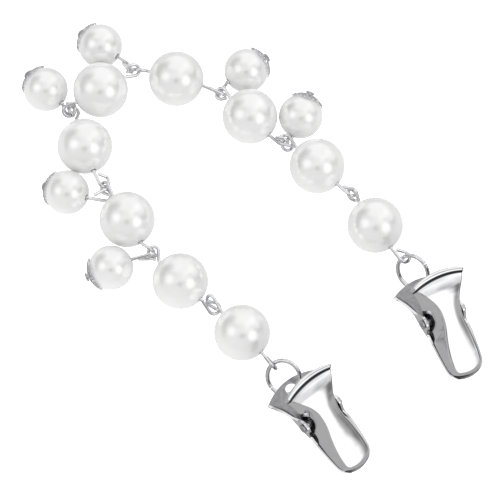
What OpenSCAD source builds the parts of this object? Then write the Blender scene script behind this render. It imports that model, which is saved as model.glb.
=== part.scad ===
// Pearl chain sweater clip: nine large pearls on eye pins, six capped pearl drops, two sprung clips.
// Millimetres. The piece lies on the floor, Z up, with the origin at the bottom centre of its box.

/* [Pearls] */
// Diameter of the large pearls
pearl_d = 10; // [9.6:0.1:10]
// Diameter of the small pearls
drop_d = 8; // [7.6:0.1:8]
// Diameter of the hole drilled through each pearl
drill_d = 1.1; // [1:0.05:1.3]

/* [Wire] */
// Diameter of the pin wire
wire_d = 0.64; // [0.5:0.02:0.64]
// Radius of a loop, at the middle of its wire
loop_r = 1.02; // [1:0.01:1.04]
// Straight wire between a pearl and its loop
stem = 0.25; // [0.22:0.01:0.3]
// Diameter of a jump ring's wire
ring_wire_d = 0.8; // [0.6:0.05:0.8]
// Outer diameter of a jump ring
ring_d = 7; // [6.9:0.05:7.1]

/* [Bead caps] */
// Thickness of a cap
cap_t = 0.35; // [0.3:0.05:0.4]
// Angle from the cap's pole to its rim, in degrees
cap_reach = 46; // [42:1:50]
// Number of petals
petals = 6; // [5:1:7]
// Diameter of the head of a drop pin
head_d = 1.7; // [1.4:0.1:2]

/* [Clips] */
// Thickness of the sheet metal
sheet = 0.5; // [0.4:0.05:0.5]
// Diameter of the hinge pin
pin_d = 1; // [0.8:0.05:1]
// Radial play of the hinge pin in its holes
pin_play = 0.08; // [0.05:0.01:0.1]
// Diameter of the spring wire
spring_d = 0.5; // [0.4:0.05:0.5]
// Diameter of the hole for the jump ring in the lower handle
ring_hole_d = 2.4; // [2.2:0.1:2.6]

/* [Hidden] */
LARGE = 9;
SMALL = "abcdef";
SIDES = ["left", "right"];

// Clearance kept between pieces that hang on each other
gap = 0.12;
// Moves the middle of the finished box onto the origin
centre_shift = [0.1, -0.17, 0];

// Large pearls, from the left clip to the right one
// middle x, middle y, turn and rise of the drilled hole
PEARLS = [
    [-1.4, -17.4, 133, 0],
    [-12.4, -7.7, 137, 0],
    [-22.0, 4.0, 120, 0],
    [-29.8, 18.1, 109, 0],
    [-27.1, 29.1, 29, 0],
    [-13.4, 31.3, -16, 0],
    [0.0, 23.9, -46, 0],
    [12.1, 14.3, -44, 0],
    [22.4, 2.9, -57, 0]
];
// Loops at the back and front end of each eye pin
// turn, rise and roll of the loop, reach from its root
BACK_LOOPS = [
    [-48, -9.5, -70, 3.95],
    [-30, -19, 10, 4.0],
    [-28, -23, -72, 3.0],
    [-40, -20, -17, 3.8],
    [-132, -26, -24, 3.2],
    [163, -18, 64, 3.0],
    [151, -14, -20, 3.2],
    [140, -15, 6, 4.1],
    [125, -3, -54, 3.3]
];
FRONT_LOOPS = [
    [131, -6, -58, 4.3],
    [117, -8, -22, 3.6],
    [128, -21, -44, 3.9],
    [101, -29, 36, 4.3],
    [44, -2, 23, 3.3],
    [-18, -17, -65, 4.5],
    [-16, -26, 80, 3.9],
    [-30, -8, -42, 3.9],
    [-30, -17.5, -15.5, 4.1]
];
// Small pearls and the loop of each drop pin
// middle x, middle y, turn and rise of the hole towards the loop, then the loop's turn, rise, roll and reach
DROPS = [
    [-24.8, -4.8, 18, 14, 13, -12, -92, 4.5],
    [-32.9, 9.6, -21, 14, 17, -19.5, 33, 4.8],
    [-37.1, 29.6, -43, 3, -31.6, -21.6, 28, 2.9],
    [-27.3, 38.2, -37, 8, -50, 13.5, -96, 4.4],
    [-0.7, 33.3, -145, 3, -129, -33.5, 75, 3.6],
    [9.2, 24.3, -112, -9, -120.5, 2.8, -13, 3.0]
];
// Jump rings: middle, then tilt from flat about X and turn about Z
RINGS = [
    [[5.98, -25.38, 3.9], 39.5, -34.5],
    [[29.1, -5.27, 3.07], 52.5, -42.5]
];
// Clips: hinge middle, then roll, pitch and turn
CLIPS = [
    [[12.4, -32.4, 4.7], -8, 19, -50],
    [[34.2, -13.9, 4.0], -13, 14.5, -65]
];

// Steps round a loop's arc, and sides of a wire
LOOP_STEPS = 10;
WIRE_SIDES = 6;

function unit(v) = v / norm(v);
function heading(turn, rise) = [cos(rise) * cos(turn), cos(rise) * sin(turn), sin(rise)];
function level_side(turn) = [-sin(turn), cos(turn), 0];
function loop_side(turn, rise, roll) =
    level_side(turn) * cos(roll) + cross(heading(turn, rise), level_side(turn)) * sin(roll);

// Teardrop loop: from its root at the pearl, round the arc, and back to a cut end clear of the root
function teardrop(root, turn, rise, roll, reach) =
    let (
        along = heading(turn, rise),
        across = loop_side(turn, rise, roll),
        middle = reach - loop_r - wire_d / 2,
        half = asin(loop_r / middle),
        leg = sqrt(middle * middle - loop_r * loop_r),
        short = (wire_d + gap) / (2 * sin(half)),
        sweep = 180 + 2 * half
    )
    concat(
        [root],
        [for (i = [0:LOOP_STEPS]) let (a = -sweep / 2 + sweep * i / LOOP_STEPS)
            root + along * (middle + loop_r * cos(a)) + across * loop_r * sin(a)],
        [root + (along * leg * cos(half) + across * leg * sin(half)) * short / leg]
    );

function reversed(list) = [for (i = [len(list) - 1:-1:0]) list[i]];

// Tangent at each point of a path, and a normal carried along it without twist
STEEP = 0.9;
function tangent(path, i) =
    unit(path[min(i + 1, len(path) - 1)] - path[max(i - 1, 0)]);
function flattened(v, t) = unit(v - (v * t) * t);
function some_normal(t) = flattened(abs(t.z) < STEEP ? [0, 0, 1] : [1, 0, 0], t);
function carried(path, i = 0, found = []) =
    i == len(path) ? found :
    let (t = tangent(path, i), n = i == 0 ? some_normal(t) : flattened(found[i - 1], t))
    carried(path, i + 1, concat(found, [n]));

// Wire of a given diameter along a path
module wire(path, d) {
    normals = carried(path);
    n = len(path);
    rings = [for (i = [0:n - 1]) let (t = tangent(path, i), u = normals[i], v = cross(t, u))
        for (k = [0:WIRE_SIDES - 1]) let (a = 360 * k / WIRE_SIDES)
            path[i] + (u * cos(a) + v * sin(a)) * d / 2];
    sides = [for (i = [0:n - 2], k = [0:WIRE_SIDES - 1])
        let (
            a = i * WIRE_SIDES + k,
            b = i * WIRE_SIDES + (k + 1) % WIRE_SIDES
        )
        each [[a, a + WIRE_SIDES, b], [b, a + WIRE_SIDES, b + WIRE_SIDES]]];
    polyhedron(
        points = rings,
        faces = concat(
            sides,
            [[for (k = [0:WIRE_SIDES - 1]) k]],
            [[for (k = [WIRE_SIDES - 1:-1:0]) (n - 1) * WIRE_SIDES + k]]
        )
    );
}

// A ball drilled through along a direction
module drilled_ball(middle, d, turn, rise) {
    translate(middle) rotate([0, -rise, turn]) rotate([0, 90, 0])
        rotate_extrude($fn = 72) intersection() {
            circle(d = d, $fn = 72);
            translate([drill_d / 2, -d]) square([d, 2 * d]);
        }
}

function pearl_middle(i) = [PEARLS[i][0], PEARLS[i][1], pearl_d / 2] + centre_shift;
function drop_middle(i) = [DROPS[i][0], DROPS[i][1], drop_d / 2] + centre_shift;

module pearl(i) {
    color("white") drilled_ball(pearl_middle(i), pearl_d, PEARLS[i][2], PEARLS[i][3]);
}

module drop_pearl(i) {
    color("white") drilled_ball(drop_middle(i), drop_d, DROPS[i][2], DROPS[i][3]);
}

module eye_pin(i) {
    out = heading(PEARLS[i][2], PEARLS[i][3]) * (pearl_d / 2 + stem);
    b = BACK_LOOPS[i];
    f = FRONT_LOOPS[i];
    color("silver") wire(concat(
        reversed(teardrop(pearl_middle(i) - out, b[0], b[1], b[2], b[3])),
        teardrop(pearl_middle(i) + out, f[0], f[1], f[2], f[3])
    ), wire_d);
}

// Bead cap: inner and outer radius, round the small pearl's middle
cap_inner_r = drop_d / 2 + gap;
cap_outer_r = cap_inner_r + cap_t;
head_t = 0.35;

module drop_pin(i) {
    p = DROPS[i];
    out = heading(p[2], p[3]);
    tail = cap_outer_r + gap;
    color("silver") union() {
        wire(concat(
            [drop_middle(i) - out * (tail + head_t / 2)],
            teardrop(drop_middle(i) + out * (drop_d / 2 + stem), p[4], p[5], p[6], p[7])
        ), wire_d);
        translate(drop_middle(i)) rotate([0, -p[3], p[2]]) translate([-tail - head_t, 0, 0])
            rotate([0, 90, 0]) cylinder(d = head_d, h = head_t, $fn = 32);
    }
}

// Cuts of a bead cap: angle from the pole and radius of each hole in a petal
PETAL_HOLES = [
    [19, 0.48],
    [28, 0.72],
    [35, 0.5]
];
// and between the petals
BETWEEN_HOLES = [
    [33, 0.28],
    [48, 0.85]
];

// How far a cutter starts below the cap and ends above it
cut_over = 1;

module radial_cut(from_pole, about, r) {
    rotate([0, from_pole, about]) translate([0, 0, cap_inner_r - cut_over])
        cylinder(r = r, h = cap_t + 2 * cut_over, $fn = 32);
}

module bead_cap(i) {
    p = DROPS[i];
    side = cap_outer_r * 2;
    color("silver") translate(drop_middle(i)) rotate([0, -p[3], p[2]]) rotate([0, -90, 0])
        difference() {
            rotate_extrude($fn = 64) intersection() {
                difference() {
                    circle(r = cap_outer_r, $fn = 96);
                    circle(r = cap_inner_r, $fn = 96);
                }
                polygon([
                    [drill_d / 2, 0],
                    [side * sin(cap_reach), side * cos(cap_reach)],
                    [drill_d / 2, side]
                ]);
            }
            for (k = [0:petals - 1]) {
                for (h = PETAL_HOLES) radial_cut(h[0], 360 * k / petals, h[1]);
                for (h = BETWEEN_HOLES) radial_cut(h[0], 360 * (k + 0.5) / petals, h[1]);
            }
        }
}

module ring(i) {
    r = RINGS[i];
    color("silver") translate(r[0] + centre_shift) rotate([r[1], 0, r[2]])
        rotate_extrude($fn = 64) translate([(ring_d - ring_wire_d) / 2, 0])
            circle(d = ring_wire_d, $fn = 24);
}

// Half shells of a clip, as sections from the handle's lip to the jaw's tip, hinge at the origin
// x, height of the face, half width of the face, height of the flank's rim, half width at the rim,
// crown of the face, bow of the section towards the handle
UPPER = [
    [-6.22, 5.24, 5.40, 4.30, 5.56, 0.20, 1.32],
    [-6.10, 5.06, 5.32, 4.16, 5.48, 0.22, 1.22],
    [-5.95, 4.94, 5.22, 4.02, 5.38, 0.24, 1.08],
    [-5.50, 5.10, 4.90, 3.78, 5.08, 0.28, 0.78],
    [-5.00, 5.22, 4.56, 3.42, 4.78, 0.30, 0.48],
    [-4.00, 5.34, 3.86, 2.55, 4.24, 0.28, 0.15],
    [-3.00, 5.24, 3.16, 1.60, 3.80, 0.22, 0.00],
    [-2.00, 5.02, 2.60, 0.60, 3.50, 0.20, 0.00],
    [-1.30, 4.83, 2.32, -0.35, 3.42, 0.20, 0.00],
    [-0.60, 4.61, 2.12, -0.95, 3.38, 0.20, 0.00],
    [0.10, 4.38, 2.02, -1.12, 3.38, 0.20, 0.00],
    [0.80, 4.15, 1.98, -0.85, 3.40, 0.20, 0.00],
    [1.40, 3.95, 1.98, -0.25, 3.42, 0.20, 0.00],
    [2.10, 3.72, 2.03, 0.50, 3.49, 0.20, 0.00],
    [3.00, 3.42, 2.18, 0.55, 3.67, 0.20, 0.00],
    [4.20, 3.02, 2.44, 0.08, 3.76, 0.20, 0.00],
    [6.00, 2.46, 2.72, 0.06, 3.68, 0.18, 0.00],
    [8.00, 1.94, 2.88, 0.06, 3.55, 0.15, 0.00],
    [9.40, 1.56, 2.86, 0.06, 3.38, 0.10, -0.35],
    [10.20, 1.26, 2.58, 0.06, 3.08, 0.05, -0.75],
    [10.70, 0.95, 2.10, 0.06, 2.55, 0.00, -0.70]
];
LOWER = [
    [-6.35, 4.60, 5.35, 3.90, 5.60, 0.00, 1.60],
    [-5.80, 4.36, 5.10, 3.50, 5.42, 0.00, 0.90],
    [-5.00, 3.95, 4.65, 2.80, 5.10, 0.00, 0.40],
    [-4.00, 3.45, 4.20, 2.00, 4.80, 0.00, 0.15],
    [-3.00, 3.00, 4.00, 1.30, 4.60, 0.00, 0.00],
    [-2.30, 2.72, 3.95, 0.80, 4.42, 0.00, 0.00],
    [-1.70, 2.50, 4.00, 0.10, 4.20, 0.00, 0.00],
    [-1.10, 2.30, 4.05, -0.85, 4.10, 0.00, 0.00],
    [-0.40, 2.12, 4.05, -1.18, 4.10, 0.00, 0.00],
    [0.40, 1.95, 4.05, -1.18, 4.10, 0.00, 0.00],
    [1.10, 1.78, 4.03, -0.82, 4.10, 0.00, 0.00],
    [1.60, 1.62, 4.00, -0.28, 4.14, 0.00, 0.00],
    [2.20, 1.46, 3.92, 0.20, 4.20, 0.00, 0.00],
    [3.00, 1.28, 3.70, 0.12, 4.28, 0.00, 0.00],
    [4.20, 1.10, 3.60, 0.06, 4.24, 0.00, 0.00],
    [6.00, 0.95, 3.50, 0.06, 4.12, 0.00, 0.00],
    [8.00, 0.84, 3.38, 0.06, 3.96, 0.00, 0.00],
    [9.60, 0.77, 3.15, 0.06, 3.74, 0.00, -0.35],
    [10.60, 0.70, 2.75, 0.06, 3.30, 0.00, -0.75],
    [11.20, 0.62, 2.20, 0.06, 2.65, 0.00, -0.70]
];
// Round of the crease between face and flank, its largest share of the flank, and the steps across a face
CREASE = 0.45;
CREASE_SHARE = 0.6;
FACE_STEPS = 6;

// Corner of a section, rounded from the flank onto the face
function rounded_corner(rim, corner) =
    let (
        reach = min(CREASE, norm(rim - corner) * CREASE_SHARE),
        start = corner + unit(rim - corner) * reach,
        end = corner + [corner.x > 0 ? -reach : reach, 0]
    )
    [start, (start + 2 * corner + end) / 4, end];

// One section across the clip, from the left rim to the right one, inset by the sheet's thickness
function section(s, inset) =
    let (
        rim = [s[4] - inset, s[3]],
        corner = [s[2] - inset, s[1] - inset],
        round_r = rounded_corner(rim, corner),
        edge = round_r[2].x,
        face = [for (k = [1:FACE_STEPS - 1]) let (y = edge * (1 - 2 * k / FACE_STEPS))
            [y, corner.y + s[5] * (1 - y * y / (edge * edge))]],
        half = concat([rim], round_r),
        mirrored = reversed([for (p = half) [-p.x, p.y]])
    )
    concat(half, face, mirrored);

function placed(s, inset) =
    [for (p = section(s, inset)) [s[0] - s[6] * (1 - p.x * p.x / (s[4] * s[4])), p.x, p.y]];

module half_shell(rows) {
    outer = [for (s = rows) placed(s, 0)];
    inner = [for (s = rows) placed(s, sheet)];
    n = len(rows);
    m = len(outer[0]);
    points = concat([for (s = outer) each s], [for (s = inner) each s]);
    back = n * m;
    skins = [for (i = [0:n - 2], j = [0:m - 2])
        let (a = i * m + j, b = a + m)
        each [
            [a, b, b + 1], [a, b + 1, a + 1],
            [back + a, back + b + 1, back + b], [back + a, back + a + 1, back + b + 1]
        ]];
    rims = [for (i = [0:n - 2], j = [0, m - 1])
        let (a = i * m + j, b = a + m)
        each j == 0
            ? [[a, back + a, back + b], [a, back + b, b]]
            : [[a, back + b, back + a], [a, b, back + b]]];
    ends = [for (i = [0, n - 1], j = [0:m - 2])
        let (a = i * m + j, b = a + 1)
        each i == 0
            ? [[a, b, back + b], [a, back + b, back + a]]
            : [[a, back + b, b], [a, back + a, back + b]]];
    polyhedron(points = points, faces = concat(skins, rims, ends));
}

// Length of a cutter that passes through the whole clip, or through its sheet
through_clip = 12;
through_sheet = 3;

module hinge_bore() {
    rotate([90, 0, 0])
        cylinder(d = pin_d + 2 * pin_play, h = through_clip, center = true, $fn = 32);
}

module in_clip(i) {
    c = CLIPS[i];
    translate(c[0] + centre_shift) rotate([c[1], c[2], c[3]]) children();
}

module clip_upper(i) {
    color("lightgray") in_clip(i) difference() {
        half_shell(UPPER);
        hinge_bore();
    }
}

// Place and slope of the jump ring's hole in the lower handle
ring_hole_x = -6;
ring_hole_z = -4.2;
handle_slope = 26;

module clip_lower(i) {
    color("lightgray") in_clip(i) difference() {
        mirror([0, 0, 1]) half_shell(LOWER);
        hinge_bore();
        translate([ring_hole_x, 0, ring_hole_z]) rotate([0, -handle_slope, 0])
            cylinder(d = ring_hole_d, h = through_sheet, center = true, $fn = 32);
    }
}

// Rivet across the clip, with a dished head outside each ear: head, dish, and the ear's face from the middle
rivet_head_d = 1.7;
rivet_head_t = 0.3;
ear_face = 4.1;
dish_d = 0.75;

module hinge_pin(i) {
    color("silver") in_clip(i) rotate([90, 0, 0]) difference() {
        union() {
            cylinder(d = pin_d, h = 2 * (ear_face + gap), center = true, $fn = 64);
            for (s = [-1, 1]) translate([0, 0, s * (ear_face + gap + rivet_head_t / 2)])
                cylinder(d = rivet_head_d, h = rivet_head_t, center = true, $fn = 64);
        }
        for (s = [-1, 1]) translate([0, 0, s * (ear_face + gap + rivet_head_t)])
            cylinder(d = dish_d, h = rivet_head_t, center = true, $fn = 64);
    }
}

// Torsion spring in two half coils: middle radius, turns in each half, leg length,
// and slope of the leg along the upper and the lower handle
coil_r = 0.95;
coil_turns = 1;
coil_pitch = spring_d + gap;
leg_length = 4.4;
upper_leg_slope = 42;
lower_leg_slope = 19;
COIL_STEPS = 12;

// Half coil on the far side of the middle, ending in a leg along the handle above it
function half_coil(slope) =
    let (n = COIL_STEPS * coil_turns, start = slope + 360 * coil_turns)
    concat(
        [for (i = [0:n]) let (a = start - 360 * coil_turns * i / n)
            [coil_r * sin(a), gap / 2 + spring_d / 2 + coil_pitch * coil_turns * i / n, coil_r * cos(a)]],
        [[
            coil_r * sin(slope) - leg_length * cos(slope),
            gap / 2 + spring_d / 2 + coil_pitch * coil_turns,
            coil_r * cos(slope) + leg_length * sin(slope)
        ]]
    );

module spring_upper(i) {
    color("gray") in_clip(i) wire(half_coil(upper_leg_slope), spring_d);
}

module spring_lower(i) {
    color("gray") in_clip(i) rotate([180, 0, 0]) wire(half_coil(lower_leg_slope), spring_d);
}

for (i = [0:LARGE - 1]) {
    pearl(i);
    eye_pin(i);
}
for (i = [0:len(SMALL) - 1]) {
    drop_pearl(i);
    drop_pin(i);
    bead_cap(i);
}
for (i = [0:1]) {
    ring(i);
    clip_upper(i);
    clip_lower(i);
    hinge_pin(i);
    spring_upper(i);
    spring_lower(i);
}
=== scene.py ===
import math

import bpy
import bmesh
from mathutils import Matrix, Vector


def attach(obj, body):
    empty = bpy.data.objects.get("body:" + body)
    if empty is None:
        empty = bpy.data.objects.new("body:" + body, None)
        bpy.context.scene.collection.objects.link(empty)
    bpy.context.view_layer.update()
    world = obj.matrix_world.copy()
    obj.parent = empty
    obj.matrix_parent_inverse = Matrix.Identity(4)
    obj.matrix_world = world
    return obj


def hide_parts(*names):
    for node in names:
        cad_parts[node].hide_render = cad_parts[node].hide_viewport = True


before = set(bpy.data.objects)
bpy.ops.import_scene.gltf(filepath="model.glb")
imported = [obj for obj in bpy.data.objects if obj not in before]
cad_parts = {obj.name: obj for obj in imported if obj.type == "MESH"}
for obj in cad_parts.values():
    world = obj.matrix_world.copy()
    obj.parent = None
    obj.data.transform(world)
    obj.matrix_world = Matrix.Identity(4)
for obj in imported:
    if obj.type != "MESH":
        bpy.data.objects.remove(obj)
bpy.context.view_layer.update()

# Sizes in millimetres, as in the part's source
MM = 0.001
PEARL_D = 10.0
DROP_D = 8.0
DRILL_D = 1.1
HOLE_ROUNDING = 0.1
WIRE_D = 0.64
LOOP_R = 1.02
STEM = 0.25
GAP = 0.12
RING_WIRE_D = 0.8
RING_D = 7.0
CAP_T = 0.35
CAP_WIRE_D = 0.22
PETALS = 6
HEAD_D = 1.7
HEAD_T = 0.35
SHEET = 0.5
PIN_D = 1.0
PIN_PLAY = 0.08
EAR_FACE = 4.1
RIVET_HEAD_D = 1.7
RIVET_HEAD_T = 0.3
DISH_D = 0.75
SPRING_D = 0.5
COIL_R = 0.95
COIL_TURNS = 1
LEG_LENGTH = 4.4
UPPER_LEG_SLOPE = 42
LOWER_LEG_SLOPE = 19
RING_HOLE_D = 2.4
RING_HOLE = (-6.0, 0.0, -4.2)
HANDLE_SLOPE = 26
EDGE_ROUND = 0.11
RING_CUT = 0.06
# Drills are longer than what they go through
THROUGH_CLIP = 12
THROUGH_SHEET = 3
# Where the middle of the model stands from the middle of the chain's own places
CENTRE_SHIFT = Vector((0.1, -0.17, 0.0))

# Large pearls: middle x, middle y, turn and rise of the drilled hole
PEARLS = [
    (-1.4, -17.4, 133, 0), (-12.4, -7.7, 137, 0), (-22.0, 4.0, 120, 0),
    (-29.8, 18.1, 109, 0), (-27.1, 29.1, 29, 0), (-13.4, 31.3, -16, 0),
    (0.0, 23.9, -46, 0), (12.1, 14.3, -44, 0), (22.4, 2.9, -57, 0),
]
# Loops at both ends of each eye pin: turn, rise and roll, and reach from the root
BACK_LOOPS = [
    (-48, -9.5, -70, 3.95), (-30, -19, 10, 4.0), (-28, -23, -72, 3.0),
    (-40, -20, -17, 3.8), (-132, -26, -24, 3.2), (163, -18, 64, 3.0),
    (151, -14, -20, 3.2), (140, -15, 6, 4.1), (125, -3, -54, 3.3),
]
FRONT_LOOPS = [
    (131, -6, -58, 4.3), (117, -8, -22, 3.6), (128, -21, -44, 3.9),
    (101, -29, 36, 4.3), (44, -2, 23, 3.3), (-18, -17, -65, 4.5),
    (-16, -26, 80, 3.9), (-30, -8, -42, 3.9), (-30, -17.5, -15.5, 4.1),
]
# Small pearls: middle x and y, hole's turn and rise, then the loop's turn, rise, roll and reach
DROPS = {
    "a": (-24.8, -4.8, 18, 14, 13, -12, -92, 4.5),
    "b": (-32.9, 9.6, -21, 14, 17, -19.5, 33, 4.8),
    "c": (-37.1, 29.6, -43, 3, -31.6, -21.6, 28, 2.9),
    "d": (-27.3, 38.2, -37, 8, -50, 13.5, -96, 4.4),
    "e": (-0.7, 33.3, -145, 3, -129, -33.5, 75, 3.6),
    "f": (9.2, 24.3, -112, -9, -120.5, 2.8, -13, 3.0),
}
# Jump rings: middle, tilt about X, turn about Z, and where the ring is cut
RINGS = {
    "left": ((5.98, -25.38, 3.9), 39.5, -34.5, 250),
    "right": ((29.1, -5.27, 3.07), 52.5, -42.5, 70),
}
# Clips: hinge middle, then roll, pitch and turn
CLIPS = {
    "left": ((12.4, -32.4, 4.7), -8, 19, -50),
    "right": ((34.2, -13.9, 4.0), -13, 14.5, -65),
}
# Sections of a clip half: x, height of the face, half width of the face, height of the flank's rim,
# half width at the rim, crown of the face, bow of the section towards the handle
UPPER = [
    (-6.22, 5.02, 5.40, 4.25, 5.56, 0.20, 1.32), (-6.16, 5.19, 5.38, 4.24, 5.55, 0.20, 1.30),
    (-6.04, 5.28, 5.33, 4.19, 5.49, 0.21, 1.24), (-5.80, 5.28, 5.20, 4.02, 5.37, 0.23, 1.08),
    (-5.64, 5.12, 5.04, 3.90, 5.22, 0.26, 0.92), (-5.56, 5.00, 4.96, 3.84, 5.14, 0.27, 0.84),
    (-5.46, 5.02, 4.87, 3.75, 5.06, 0.28, 0.76), (-5.20, 5.14, 4.70, 3.56, 4.90, 0.29, 0.60),
    (-4.90, 5.23, 4.49, 3.34, 4.73, 0.30, 0.44), (-4.00, 5.34, 3.86, 2.55, 4.24, 0.28, 0.15),
    (-3.00, 5.24, 3.16, 1.60, 3.80, 0.22, 0.00), (-2.00, 5.02, 2.60, 0.60, 3.50, 0.20, 0.00),
    (-1.30, 4.83, 2.32, -0.35, 3.42, 0.20, 0.00), (-0.60, 4.61, 2.12, -0.95, 3.38, 0.20, 0.00),
    (0.10, 4.38, 2.02, -1.12, 3.38, 0.20, 0.00), (0.80, 4.15, 1.98, -0.85, 3.38, 0.20, 0.00),
    (1.40, 3.95, 1.98, -0.25, 3.34, 0.20, 0.00), (2.10, 3.72, 2.03, 0.50, 3.24, 0.20, 0.00),
    (3.00, 3.42, 2.18, 0.55, 3.38, 0.20, 0.00), (4.20, 3.02, 2.44, 0.08, 3.70, 0.20, 0.00),
    (6.00, 2.46, 2.72, 0.06, 3.68, 0.18, 0.00), (8.00, 1.94, 2.88, 0.06, 3.55, 0.15, 0.00),
    (9.40, 1.56, 2.86, 0.06, 3.38, 0.10, -0.35), (10.20, 1.26, 2.58, 0.06, 3.08, 0.05, -0.75),
    (10.70, 0.95, 2.10, 0.06, 2.55, 0.00, -0.70),
]
LOWER = [
    (-6.35, 4.60, 5.35, 3.90, 5.60, 0.00, 1.60), (-5.80, 4.36, 5.10, 3.50, 5.42, 0.00, 0.90),
    (-5.00, 3.95, 4.65, 2.80, 5.10, 0.00, 0.40), (-4.00, 3.45, 4.20, 2.00, 4.80, 0.00, 0.15),
    (-3.00, 3.00, 4.00, 1.30, 4.60, 0.00, 0.00), (-2.30, 2.72, 3.95, 0.80, 4.42, 0.00, 0.00),
    (-1.70, 2.50, 4.00, 0.10, 4.20, 0.00, 0.00), (-1.10, 2.30, 4.05, -0.85, 4.10, 0.00, 0.00),
    (-0.40, 2.12, 4.05, -1.18, 4.10, 0.00, 0.00), (0.40, 1.95, 4.05, -1.18, 4.10, 0.00, 0.00),
    (1.10, 1.78, 4.03, -0.82, 4.10, 0.00, 0.00), (1.60, 1.62, 4.00, -0.28, 4.14, 0.00, 0.00),
    (2.20, 1.46, 3.92, 0.20, 4.20, 0.00, 0.00), (3.00, 1.28, 3.70, 0.12, 4.28, 0.00, 0.00),
    (4.20, 1.10, 3.60, 0.06, 4.24, 0.00, 0.00), (6.00, 0.95, 3.50, 0.06, 4.12, 0.00, 0.00),
    (8.00, 0.84, 3.38, 0.06, 3.96, 0.00, 0.00), (9.60, 0.77, 3.15, 0.06, 3.74, 0.00, -0.35),
    (10.60, 0.70, 2.75, 0.06, 3.30, 0.00, -0.75), (11.20, 0.62, 2.20, 0.06, 2.65, 0.00, -0.70),
]
# The crease between flank and face: its reach, and the most of the flank that it may take
CREASE = 0.45
CREASE_SHARE = 0.6
# Where the painted shade in the groove under each half's lip begins and ends
UPPER_GROOVE_SHADE = (-5.72, -5.34)
LOWER_GROOVE_SHADE = (-5.90, -5.72)


# Camera: the photograph's view, 70 degrees above the floor, from the open side of the chain
ELEVATION = math.radians(70)
CAMERA_AWAY = 650 * MM
LENS, SENSOR = 260, 36
target = CENTRE_SHIFT * MM
camera_data = bpy.data.cameras.new("camera")
camera_data.lens = LENS
camera_data.sensor_width = SENSOR
camera_data.clip_start = 50 * MM
camera = bpy.data.objects.new("camera", camera_data)
bpy.context.scene.collection.objects.link(camera)
away = Vector((0, -math.cos(ELEVATION), math.sin(ELEVATION)))
camera.location = target + away * CAMERA_AWAY
camera.rotation_euler = (math.radians(90) - ELEVATION, 0, 0)
bpy.context.scene.camera = camera


# Materials

def linear(hex_colour):
    """An sRGB hex colour as linear red, green, blue and alpha."""
    parts = [int(hex_colour[i:i + 2], 16) / 255 for i in (1, 3, 5)]
    return tuple(c / 12.92 if c <= 0.04045 else ((c + 0.055) / 1.055) ** 2.4 for c in parts) + (1.0,)


def add(tree, kind, inputs=None, **settings):
    """Adds a node with its settings, and sets or links its inputs."""
    node = tree.nodes.new(kind)
    for name, value in settings.items():
        setattr(node, name, value)
    for key, value in (inputs or {}).items():
        if isinstance(value, bpy.types.NodeSocket):
            tree.links.new(value, node.inputs[key])
        else:
            node.inputs[key].default_value = value
    return node


def new_material(name):
    """A material with an empty node tree."""
    material = bpy.data.materials.new(name)
    material.use_nodes = True
    material.node_tree.nodes.clear()
    return material, material.node_tree


def per_metre(size_mm):
    """Texture scale for a pattern whose features are this many millimetres apart."""
    return 1 / (size_mm * MM)


def finish_material(tree, shader):
    """Links the shader to the material's output."""
    add(tree, "ShaderNodeOutputMaterial", {"Surface": shader.outputs[0]})


def pearl_lacquer():
    """Pearl-lacquered ABS bead: white moulding dipped in pearl essence, then clear lacquer.
    The flakes of the essence lie flat and mirror the room softly, the lacquer adds a thin gloss."""
    material, tree = new_material("pearl-lacquered ABS")
    place = add(tree, "ShaderNodeTexCoord").outputs["Object"]
    cloud = add(tree, "ShaderNodeTexNoise",
                {"Vector": place, "Scale": per_metre(3.2), "Detail": 3.0, "Roughness": 0.5})
    tone = add(tree, "ShaderNodeValToRGB", {"Fac": cloud.outputs["Fac"]})
    tone.color_ramp.elements[0].position = 0.3
    tone.color_ramp.elements[0].color = linear("#EBEBEA")
    tone.color_ramp.elements[1].position = 0.7
    tone.color_ramp.elements[1].color = linear("#F2F2F2")
    flakes = add(tree, "ShaderNodeMapRange", {
        "Value": cloud.outputs["Fac"], "From Min": 0.3, "From Max": 0.7, "To Min": 0.3, "To Max": 0.36})
    gloss = add(tree, "ShaderNodeMapRange", {
        "Value": cloud.outputs["Fac"], "From Min": 0.3, "From Max": 0.7, "To Min": 0.17, "To Max": 0.21})
    peel = add(tree, "ShaderNodeTexNoise",
               {"Vector": place, "Scale": per_metre(0.55), "Detail": 2.0, "Roughness": 0.45})
    bump = add(tree, "ShaderNodeBump",
               {"Height": peel.outputs["Fac"], "Strength": 0.05, "Distance": 0.01 * MM})
    shader = add(tree, "ShaderNodeBsdfPrincipled", {
        "Base Color": tone.outputs["Color"], "Metallic": flakes.outputs["Result"],
        "Roughness": gloss.outputs["Result"], "Normal": bump.outputs["Normal"],
        "Coat Weight": 0.25, "Coat Roughness": 0.12, "Coat IOR": 1.5,
        "Sheen Weight": 0.7, "Sheen Roughness": 0.3})
    finish_material(tree, shader)
    return material


# Mesh attribute that says where painted shade darkens the crease under a clip's lip
PAINTED_SHADE = "painted_shade"


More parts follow.
